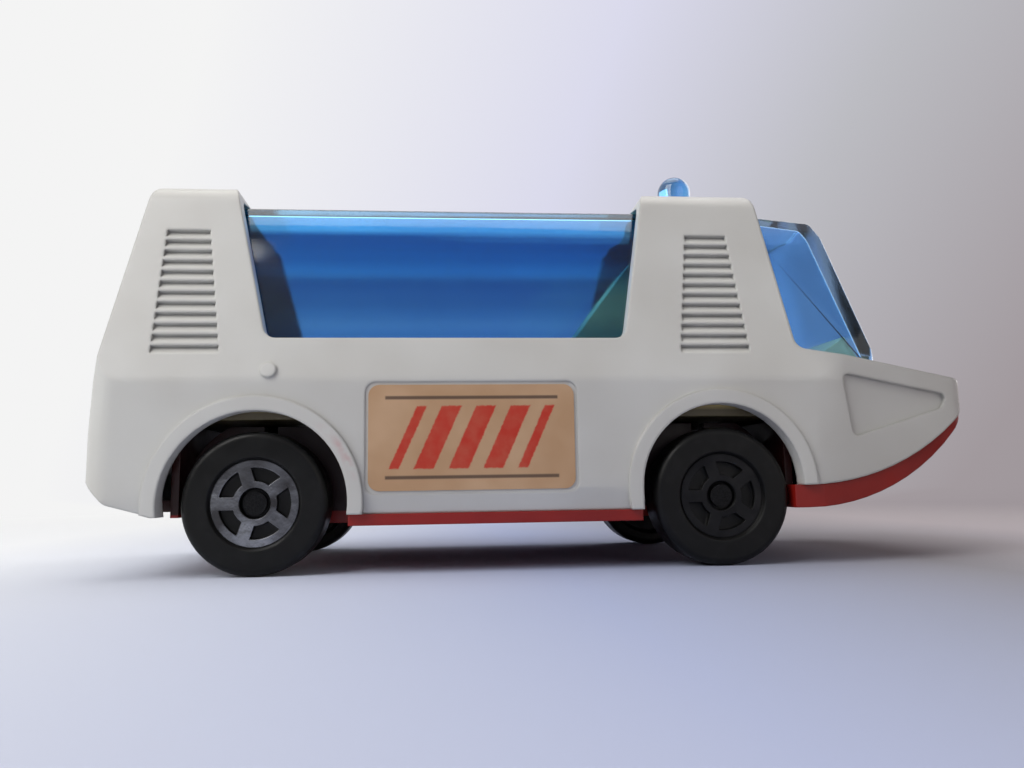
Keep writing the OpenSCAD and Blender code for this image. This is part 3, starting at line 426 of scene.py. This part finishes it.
# ---- stage: a pale bowl for floor and backdrop, soft lamps, the photograph's camera
def backdrop():
    """A floor that curves up all round into a wall, made by drawing a disc down into a bowl."""
    floor_r, bend_r, rim_z, steps = 0.5, 0.3, 1.0, 10
    bpy.ops.object.select_all(action="DESELECT")
    bpy.ops.mesh.primitive_circle_add(vertices=128, radius=floor_r + bend_r, fill_type="NGON",
                                      location=(0, 0, rim_z))
    bowl = bpy.context.object
    bowl.name = "backdrop_bowl"
    bpy.ops.object.transform_apply(location=True)
    bpy.ops.object.mode_set(mode="EDIT")
    bpy.ops.mesh.select_all(action="SELECT")
    at_r, at_z = floor_r + bend_r, rim_z
    for step in range(steps + 1):
        turn = math.pi / 2 * step / steps
        r, z = floor_r + bend_r * math.cos(turn), bend_r * (1 - math.sin(turn))
        bpy.ops.mesh.extrude_region_move(TRANSFORM_OT_translate={"value": (0, 0, z - at_z)})
        bpy.ops.transform.resize(value=(r / at_r, r / at_r, 1), center_override=(0, 0, z))
        at_r, at_z = r, z
    bpy.ops.mesh.inset(thickness=0.02)
    bpy.ops.mesh.inset(thickness=0.02)
    bpy.ops.mesh.select_all(action="SELECT")
    bpy.ops.mesh.normals_make_consistent(inside=True)
    bpy.ops.object.mode_set(mode="OBJECT")
    bpy.ops.object.shade_smooth()
    mat, tree, mm, surface = start("paper_matt_white")
    # near the toy the paper is lit by the lamps; farther out it glows with painted light, bright to the left
    # and up high, greyer low to the right
    far = add(tree, "VectorMath", {0: mm}, operation="LENGTH").outputs["Value"]
    lit_r, glow_r = 12, 175
    far = add(tree, "MapRange", {0: far, 1: lit_r, 2: glow_r}, interpolation_type="SMOOTHSTEP").outputs[0]
    x, y, _ = add(tree, "SeparateXYZ", {0: mm}).outputs
    aim = add(tree, "VectorMath", {0: mm}, operation="NORMALIZE").outputs[0]
    aim_x, _, aim_z = add(tree, "SeparateXYZ", {0: aim}).outputs
    slope = sums(tree, "MULTIPLY_ADD", aim_z, -0.42, aim_x)
    painted_light_ramp = add(tree, "ValToRGB", {0: add(tree, "MapRange", {0: slope, 1: -0.5, 2: 0.9}).outputs[0]})
    stops = painted_light_ramp.color_ramp.elements
    stops[0].color, stops[1].color = ink("#f4f4f4"), ink("#9a9296")
    for at, colour in ((0.34, "#dadaec"), (0.56, "#bcbcc2"), (0.79, "#a1999d")):
        stops.new(at).color = ink(colour)
    ray = add(tree, "LightPath").outputs
    seen = sums(tree, "MAXIMUM", ray["Is Camera Ray"], ray["Is Glossy Ray"])
    seen = sums(tree, "MAXIMUM", seen, ray["Is Transmission Ray"])
    # painted light: the backdrop glows for rays from the camera, in reflections and through glass
    own = sums(tree, "MULTIPLY", far, seen)
    # painted shade in reflections: the glow is dimmer on the camera's side there, so that the hubs and the
    # glass keep their depth
    dim_from, dim_to, dim_share = -60, -260, 0.35
    dim = add(tree, "MapRange", {0: y, 1: dim_from, 2: dim_to, 3: 1.0, 4: dim_share}).outputs[0]
    dim = sums(tree, "MAXIMUM", dim, ray["Is Camera Ray"])
    reach = 60
    # painted shade on the floor by the toy: light on the left, darkest a little right of the middle
    near_floor_shade = add(tree, "ValToRGB", {0: add(tree, "MapRange", {0: x, 1: -reach, 2: reach}).outputs[0]})
    stops = near_floor_shade.color_ramp.elements
    stops[0].color, stops[1].color = ink("#f8fbff"), ink("#c4bcc0")
    for at, colour in ((0.5, "#aeb8d8"), (0.75, "#98979e")):
        stops.new(at).color = ink(colour)
    tree.links.new(mixed(tree, own, near_floor_shade.outputs[0], ink("#000000")), surface.inputs["Base Color"])
    tree.links.new(painted_light_ramp.outputs[0], surface.inputs["Emission Color"])
    tree.links.new(sums(tree, "MULTIPLY", own, dim), surface.inputs["Emission Strength"])
    settle(surface, Roughness=0.9, Specular_IOR_Level=0.0)
    bowl.data.materials.append(mat)


def lamp(name, place, size, power, colour):
    """A soft square lamp aimed at the middle of the toy."""
    toy_middle = Vector((0, 0, 0.015))
    light = bpy.data.lights.new(name, "AREA")
    light.size = size
    light.energy = power
    light.color = ink(colour)[:3]
    holder = bpy.data.objects.new(name, light)
    bpy.context.scene.collection.objects.link(holder)
    holder.location = place
    holder.rotation_euler = (toy_middle - Vector(place)).to_track_quat("-Z", "Y").to_euler()


backdrop()
lamp("lamp_key", (-0.24, -0.16, 0.26), 0.25, 0.94, "#fffdfa")
lamp("lamp_fill", (0.22, -0.36, 0.16), 0.3, 0.19, "#fdfaf6")
lamp("lamp_top", (0.0, 0.06, 0.5), 0.4, 0.9, "#fdfaf4")
lamp("lamp_far", (0.32, 0.24, 0.2), 0.3, 0.52, "#fffdfa")

world = bpy.data.worlds.new("studio_air")
bpy.context.scene.world = world
world.use_nodes = True
air = world.node_tree
air.nodes.clear()
sky = add(air, "Background", {"Color": ink("#efeeec"), "Strength": 0.5})
add(air, "OutputWorld", {"Surface": sky.outputs[0]})

# camera: place, turns and focal length fitted to the photograph, in the toy's own frame
PHOTO_W, FOCAL_PX, SENSOR_MM = 1024, 800.84, 36.0
CAMERA_PLACE = Vector((-8.591, -73.368, 6.525))
yaw, pitch, roll = 0.0866244, 0.122714, -0.0152213
camera = bpy.data.cameras.new("camera")
camera.sensor_width = SENSOR_MM
camera.lens = SENSOR_MM * FOCAL_PX / PHOTO_W
camera.clip_start, camera.clip_end = 0.002, 10
ahead = Vector((math.sin(yaw) * math.cos(pitch), math.cos(yaw) * math.cos(pitch), math.sin(pitch)))
right = Vector((math.cos(yaw), -math.sin(yaw), 0))
up = right.cross(ahead)
side_on = math.cos(roll) * right + math.sin(roll) * up
upward = -math.sin(roll) * right + math.cos(roll) * up
stand = bpy.data.objects.new("camera", camera)
bpy.context.scene.collection.objects.link(stand)
turned = Matrix((side_on, upward, -ahead)).transposed().to_4x4()
turned.translation = CAMERA_PLACE * MM
stand.matrix_world = turned
bpy.context.scene.camera = stand
bpy.context.scene.view_settings.view_transform = "Standard"
